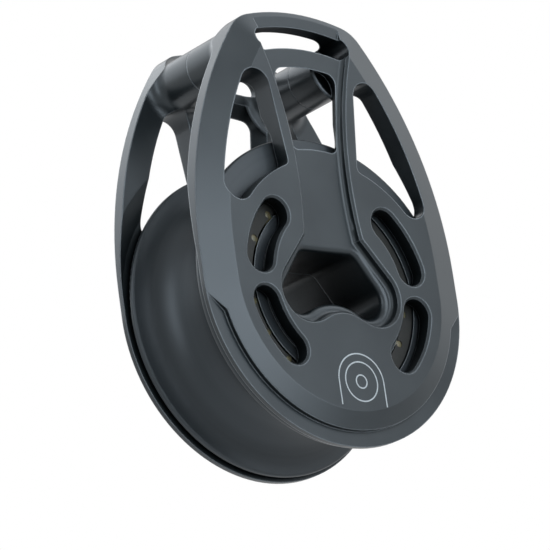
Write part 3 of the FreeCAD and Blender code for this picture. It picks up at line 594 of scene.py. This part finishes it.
@dataclass(frozen=True)
class SheaveAndBearing:
    """The sheave with its races, rollers, balls and cages."""

    sheave: tuple[str, ...] = ("sheave",)
    races: tuple[str, ...] = ("inner_race", "front_side_race", "rear_side_race")
    cages: tuple[str, ...] = ("front_ball_cage", "rear_ball_cage")
    balls: tuple[str, ...] = ("front_balls", "rear_balls")
    roller_prefix: str = "roller_"

    def dress(self, wardrobe: Wardrobe) -> None:
        """Finish every piece of the bearing.

        Args:
            wardrobe: the materials.
        """
        rollers = [name for name in sorted(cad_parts) if name.startswith(self.roller_prefix)]
        for nodes, finish in (
            (self.sheave, Finish.SHEAVE),
            (self.races, Finish.RACE),
            (self.cages, Finish.ACETAL),
            (self.balls, Finish.RESIN),
            (rollers, Finish.RESIN),
        ):
            for node in nodes:
                wardrobe.dress(node, finish)


@dataclass(frozen=True)
class Screws:
    """The four countersunk screws."""

    nodes: tuple[str, ...] = (
        "head_screw_left",
        "head_screw_right",
        "hub_screw_left",
        "hub_screw_right",
    )

    def dress(self, wardrobe: Wardrobe) -> None:
        """Finish every screw.

        Args:
            wardrobe: the materials.
        """
        for node in self.nodes:
            wardrobe.dress(node, Finish.STAINLESS)


@dataclass(frozen=True)
class SizeMark:
    """A thin outlined pictogram on the front cheek, a line led over a wheel, in millimetres."""

    centre: PlanePoint = (1.4, -17.7)
    wheel_radius: float = 3.6
    hub_radius: float = 1.2
    rope_gap: float = 1.5
    rope_drop: float = 4.4
    stroke: float = 0.24
    thickness: float = 0.02
    steps: int = 48

    def arc(self, radius: float, start: float, end: float) -> list[PlanePoint]:
        """Return points along an arc round the mark's centre.

        Args:
            radius: radius in millimetres.
            start: first angle in degrees.
            end: last angle in degrees.

        Returns:
            The points.
        """
        step = (end - start) / self.steps
        turns = [math.radians(start + step * index) for index in range(self.steps + 1)]
        return [
            (self.centre[0] + radius * math.cos(t), self.centre[1] + radius * math.sin(t))
            for t in turns
        ]

    def strokes(self) -> list[Stroke]:
        """Lay out the wheel, its hub and the line over it.

        Returns:
            The points of each stroke, and whether it is closed.
        """
        rope_radius = self.wheel_radius + self.rope_gap
        foot = self.centre[1] - self.rope_drop
        bow = self.arc(rope_radius, 0.0, 180.0)
        rope = [(bow[0][0], foot)] + bow + [(bow[-1][0], foot)]
        rings = [self.arc(radius, 0.0, 360.0)[:-1] for radius in (self.wheel_radius, self.hub_radius)]
        return [(ring, True) for ring in rings] + [(rope, False)]

    def build(self, wardrobe: Wardrobe) -> None:
        """Build the mark on the front face and let it ride with the cheek.

        Args:
            wardrobe: the materials.
        """
        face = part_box("front_cheek")[0].y
        mesh = bmesh.new()
        for points, closed in self.strokes():
            add_stroke(mesh, points, closed, self.stroke, face, self.thickness)
        piece = piece_from(mesh, "size_mark")
        piece.data.materials.append(wardrobe.get(Finish.MARK))
        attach(piece, "frame")
        log.info("built %s with %d faces", piece.name, len(piece.data.polygons))


def add_stroke(
    mesh: bmesh.types.BMesh,
    points: Sequence[PlanePoint],
    closed: bool,
    width: float,
    face: float,
    thickness: float,
) -> None:
    """Add a flat stroke along points of a face that looks along -Y.

    Args:
        mesh: where it goes.
        points: the stroke's middle line, in millimetres.
        closed: whether it ends where it starts.
        width: its width, in millimetres.
        face: the face's place along Y, in metres.
        thickness: how far it stands proud, in millimetres.
    """
    count = len(points)
    proud = face - thickness * MM
    rims = []
    for index, point in enumerate(points):
        before = points[index - 1] if closed or index else point
        after = points[(index + 1) % count] if closed or index + 1 < count else point
        along = Vector((after[0] - before[0], after[1] - before[1])).normalized()
        across = Vector((-along.y, along.x)) * width / 2
        rim = []
        for hand, depth in ((-1, face), (-1, proud), (1, proud), (1, face)):
            x = (point[0] + hand * across.x) * MM
            z = (point[1] + hand * across.y) * MM
            rim.append(mesh.verts.new((x, depth, z)))
        rims.append(rim)
    pairs = list(zip(rims, rims[1:]))
    if closed:
        pairs.append((rims[-1], rims[0]))
    for near, far in pairs:
        corners = len(near)
        for side in range(corners):
            following = (side + 1) % corners
            mesh.faces.new((near[side], near[following], far[following], far[side]))
    if not closed:
        mesh.faces.new(rims[0][::-1])
        mesh.faces.new(rims[-1])
    bmesh.ops.recalc_face_normals(mesh, faces=mesh.faces)


def piece_from(mesh: bmesh.types.BMesh, name: str) -> bpy.types.Object:
    """Turn a bmesh into an object of the scene.

    Args:
        mesh: the mesh, which is freed.
        name: name of the piece.

    Returns:
        The object.
    """
    data = bpy.data.meshes.new(name)
    mesh.to_mesh(data)
    mesh.free()
    piece = bpy.data.objects.new(name, data)
    bpy.context.scene.collection.objects.link(piece)
    return piece


# Camera and studio


@dataclass(frozen=True)
class PhotoCamera:
    """A long lens that looks up at the block from the lower left.

    The focal length and the sensor are in millimetres.
    """

    position: Point = (-0.4126, -0.4762, -0.1811)
    right: Point = (0.7769, -0.6145, -0.1374)
    up: Point = (-0.0757, -0.3078, 0.9485)
    back: Point = (-0.6252, -0.7264, -0.2856)
    lens: float = 240.3
    sensor: float = 36.0
    nearest: float = 0.01
    farthest: float = 20.0

    def place(self) -> None:
        """Make the camera and look through it."""
        data = bpy.data.cameras.new("camera")
        data.lens = self.lens
        data.sensor_width = self.sensor
        data.clip_start = self.nearest
        data.clip_end = self.farthest
        camera = bpy.data.objects.new("camera", data)
        bpy.context.scene.collection.objects.link(camera)
        axes = Matrix((self.right, self.up, self.back)).transposed()
        camera.matrix_world = Matrix.Translation(self.position) @ axes.to_4x4()
        bpy.context.scene.camera = camera


@dataclass(frozen=True)
class Softbox:
    """One rectangular lamp that faces the block."""

    name: str
    position: Point
    size: PlanePoint
    radiance: float
    colour: Colour = (0.92, 0.98, 1.04)
    target: Point = (0.0, 0.0, 0.01)

    def hang(self) -> None:
        """Hang the lamp, hidden from the camera."""
        lamp = bpy.data.lights.new(self.name, "AREA")
        lamp.shape = "RECTANGLE"
        lamp.size, lamp.size_y = self.size
        lamp.energy = self.radiance * math.pi * self.size[0] * self.size[1]
        lamp.color = self.colour
        holder = bpy.data.objects.new(self.name, lamp)
        bpy.context.scene.collection.objects.link(holder)
        holder.location = self.position
        towards = Vector(self.target) - Vector(self.position)
        holder.rotation_euler = towards.to_track_quat("-Z", "Y").to_euler()
        holder.visible_camera = False


def share_of_looks(tree: bpy.types.NodeTree) -> bpy.types.NodeSocket:
    """Tell the rays that look at the surroundings from those that light the block.

    Args:
        tree: the node tree of a material or of the world.

    Returns:
        1 for a ray from the camera, a reflection or a transmission, and 0 for the others.
    """
    path = tree.nodes.new("ShaderNodeLightPath")
    seen = path.outputs["Is Camera Ray"]
    for name in ("Is Glossy Ray", "Is Transmission Ray"):
        either = tree.nodes.new("ShaderNodeMath")
        either.operation = "MAXIMUM"
        tree.links.new(seen, either.inputs[0])
        tree.links.new(path.outputs[name], either.inputs[1])
        seen = either.outputs[0]
    return seen


@dataclass(frozen=True)
class Floor:
    """The pale round floor, which glows to be as bright as the surroundings behind it."""

    height: float = -0.45
    radius: float = 4.0
    sides: int = 96
    colour: Colour = (0.86, 0.86, 0.86)
    glow: float = 0.84
    roughness: float = 0.8
    mottle_size: float = 0.4
    mottle_lift: float = 1.02
    mottle_depth: float = 0.00001

    def lay(self) -> None:
        """Lay the floor."""
        mesh = bmesh.new()
        bmesh.ops.create_circle(mesh, cap_ends=True, segments=self.sides, radius=self.radius)
        floor = piece_from(mesh, "floor")
        floor.location.z = self.height
        recipe = Recipe("floor_paint")
        mottle = recipe.grain(recipe.place(), self.mottle_size)
        brighter = tuple(value * self.mottle_lift for value in self.colour)
        colour = recipe.blend(mottle, self.colour, brighter)
        glow = recipe.calculate("MULTIPLY", share_of_looks(recipe.tree), self.glow)
        recipe.feed(recipe.shader.inputs["Emission Strength"], glow)
        paint = recipe.finish(colour, self.roughness, recipe.relief(mottle, self.mottle_depth))
        floor.data.materials.append(paint)


@dataclass(frozen=True)
class Surroundings:
    """The surroundings, white to look at and dim as a light."""

    ambient: float = 0.12
    white: float = 1.0

    def light(self) -> None:
        """Light them up."""
        world = bpy.data.worlds.new("studio")
        bpy.context.scene.world = world
        world.use_nodes = True
        tree = world.node_tree
        tree.nodes.clear()
        strength = tree.nodes.new("ShaderNodeMapRange")
        tree.links.new(share_of_looks(tree), strength.inputs["Value"])
        strength.inputs["To Min"].default_value = self.ambient
        strength.inputs["To Max"].default_value = self.white
        background = tree.nodes.new("ShaderNodeBackground")
        tree.links.new(strength.outputs[0], background.inputs["Strength"])
        background.inputs["Color"].default_value = (1.0, 1.0, 1.0, 1.0)
        output = tree.nodes.new("ShaderNodeOutputWorld")
        tree.links.new(background.outputs[0], output.inputs["Surface"])


@dataclass(frozen=True)
class Studio:
    """Pale floor, white surroundings and soft lamps."""

    floor: Floor = Floor()
    surroundings: Surroundings = Surroundings()
    lamps: tuple[Softbox, ...] = (
        Softbox("key_softbox", (0.045, -0.400, 0.045), (0.37, 0.33), 4.3),
        Softbox("top_softbox", (0.200, -0.140, 0.260), (0.24, 0.24), 1.5),
        Softbox("right_softbox", (0.400, -0.075, 0.115), (0.12, 0.26), 0.6),
        Softbox("left_softbox", (-0.420, 0.100, 0.300), (0.40, 0.40), 0.75),
        Softbox("back_softbox", (-0.100, 0.380, 0.260), (0.50, 0.34), 1.8),
        Softbox("edge_softbox", (-0.420, -0.190, 0.120), (0.14, 0.40), 4.0),
    )

    def set_up(self) -> None:
        """Set up everything round the block."""
        self.floor.lay()
        self.surroundings.light()
        for lamp in self.lamps:
            lamp.hang()
        bpy.context.scene.view_settings.view_transform = "Standard"


def main() -> None:
    """Dress the block and set up the studio."""
    logging.basicConfig(level=logging.INFO, format="%(message)s")
    wardrobe = Wardrobe()
    for assembly in (Cheeks(), SheaveAndBearing(), Screws()):
        assembly.dress(wardrobe)
    SizeMark().build(wardrobe)
    PhotoCamera().place()
    Studio().set_up()


if __name__ == "__main__":
    main()
